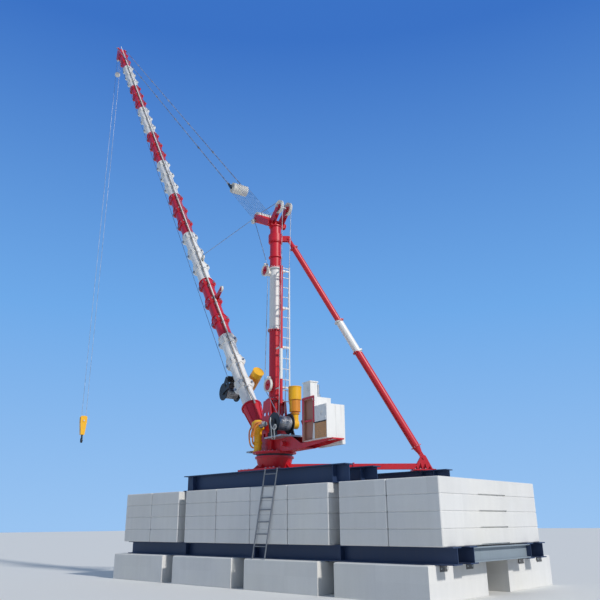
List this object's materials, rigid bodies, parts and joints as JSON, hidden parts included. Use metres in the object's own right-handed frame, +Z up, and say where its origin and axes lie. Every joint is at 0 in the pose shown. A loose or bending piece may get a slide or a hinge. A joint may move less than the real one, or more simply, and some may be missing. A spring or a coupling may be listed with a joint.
{
  "type": "stiff-leg derrick crane",
  "caption": "Roof-top derrick crane with a tubular luffing boom and a mast held by inclined stiff legs, standing on a concrete ballast stack; slews, luffs and hoists.",
  "frame": {"origin": "on the mast's turning axis, on the level that the concrete foot blocks stand on", "axes": "+Z up; +X along the base's long side, to the right seen from the front where the ladder leans; +Y from the mast towards the feet of the stiff legs"},
  "size_m": [22.8277, 5.4871, 27.9396],
  "materials": {
    "concrete": "bare cast concrete, matt, slightly porous",
    "navy_steel": "dark navy paint, satin, scuffed",
    "red_paint": "signal red gloss paint",
    "white_paint": "white gloss paint",
    "yellow_paint": "machine yellow paint",
    "black_steel": "black paint, satin",
    "galvanised": "galvanised steel, dull",
    "sheave_white": "cream white paint",
    "wire_rope": "greased steel wire rope"
  },
  "bodies": {
    "base": {"foot_blocks": "concrete", "lower_frame_front": "navy_steel", "lower_frame_rear": "navy_steel", "lower_cross_members": "navy_steel", "slab_layer_1": "concrete", "slab_layer_2": "concrete", "slab_layer_3": "concrete", "slab_layer_4": "concrete", "upper_beam_front": "navy_steel", "upper_beam_middle": "navy_steel", "upper_beam_rear": "navy_steel", "access_ladder": "galvanised", "pedestal": "red_paint", "sill_right": "red_paint", "sill_left": "red_paint", "stiff_leg_right": "red_paint", "stiff_leg_left": "red_paint", "leg_collar": "red_paint"},
    "superstructure": {"turntable": "red_paint", "mast_foot": "red_paint", "mast_tube_lower": "red_paint", "mast_tube_middle": "white_paint", "mast_tube_upper": "red_paint", "mast_head": "red_paint", "rear_sheaves": "sheave_white", "mast_ladder": "white_paint", "guide_sheaves": "sheave_white", "tail_frame": "red_paint", "winch_platform": "galvanised", "luffing_winch": "yellow_paint", "power_pack": "white_paint", "control_box": "white_paint", "slew_drive": "yellow_paint"},
    "luff_drum": {"luffing_drum": "black_steel"},
    "boom": {"boom_foot": "red_paint", "boom_section_1": "white_paint", "boom_section_2": "red_paint", "boom_section_3": "white_paint", "boom_section_4": "red_paint", "boom_section_5": "white_paint", "boom_section_6": "red_paint", "boom_section_7": "white_paint", "boom_section_8": "red_paint", "boom_section_9": "white_paint", "boom_head": "red_paint", "hoist_winch": "yellow_paint", "rope_brackets": "red_paint"},
    "lift_drum": {"hoist_drum": "black_steel"},
    "falls": {"head_sheaves": "sheave_white", "luffing_falls": "wire_rope"},
    "luffing_block": {"floating_block": "sheave_white", "pendants": "wire_rope"},
    "hoist_line": {"tip_sheaves": "sheave_white", "limit_weight": "sheave_white", "hoist_rope": "wire_rope"},
    "lower_block": {"hook_block": "yellow_paint"},
    "swivel_hook": {"hook": "black_steel"}
  },
  "joints": [
    {"name": "slew", "type": "hinge", "parent": "base", "child": "superstructure", "pos_m": [0, 0, 3.06], "axis": [0, 0, 1], "range_deg": [-8, 215]},
    {"name": "luff", "type": "hinge", "parent": "superstructure", "child": "boom", "pos_m": [-0.45604, 0.1137, 3.37], "axis": [0.2419, 0.9703, 0], "range_deg": [-14.8, 23.2]},
    {"name": "luff_drum_turn", "type": "hinge", "parent": "superstructure", "child": "luff_drum", "pos_m": [0.58218, -0.14515, 3.77], "axis": [0.2419, 0.9703, 0], "continuous": true},
    {"name": "lift_drum_turn", "type": "hinge", "parent": "boom", "child": "lift_drum", "pos_m": [-2.33471, 0.58211, 5.03913], "axis": [0.2419, 0.9703, 0], "continuous": true},
    {"name": "falls_swing", "type": "hinge", "parent": "superstructure", "child": "falls", "pos_m": [-0.6598, 0.16451, 9.92], "axis": [0.2419, 0.9703, 0], "range_deg": [-18.2, 28.4]},
    {"name": "block_travel", "type": "slide", "parent": "falls", "child": "luffing_block", "axis": [-0.6659, 0.166, 0.7273], "range_m": [-1.53, 0.98], "deforming": ["luffing_falls"]},
    {"name": "line_hang", "type": "hinge", "parent": "boom", "child": "hoist_line", "pos_m": [-17.18795, 4.28544, 27.29467], "axis": [0.2419, 0.9703, 0], "range_deg": [-23.5, 15.1]},
    {"name": "hoist", "type": "slide", "parent": "hoist_line", "child": "lower_block", "axis": [0, 0, -1], "range_m": [-19.5, 5.3], "deforming": ["hoist_rope"]},
    {"name": "hook_swivel", "type": "hinge", "parent": "lower_block", "child": "swivel_hook", "pos_m": [-17.38782, 4.33527, 5.55], "axis": [0, 0, 1], "continuous": true}
  ],
  "couplings": [
    {"joint": "falls_swing", "follows": "luff", "ratio": 1.21},
    {"joint": "block_travel", "follows": "luff", "m_per_rad": -3.75},
    {"joint": "line_hang", "follows": "luff", "ratio": -1},
    {"joint": "luff_drum_turn", "follows": "luff", "ratio": 50},
    {"joint": "lift_drum_turn", "follows": "hoist", "rad_per_m": 9}
  ]
}
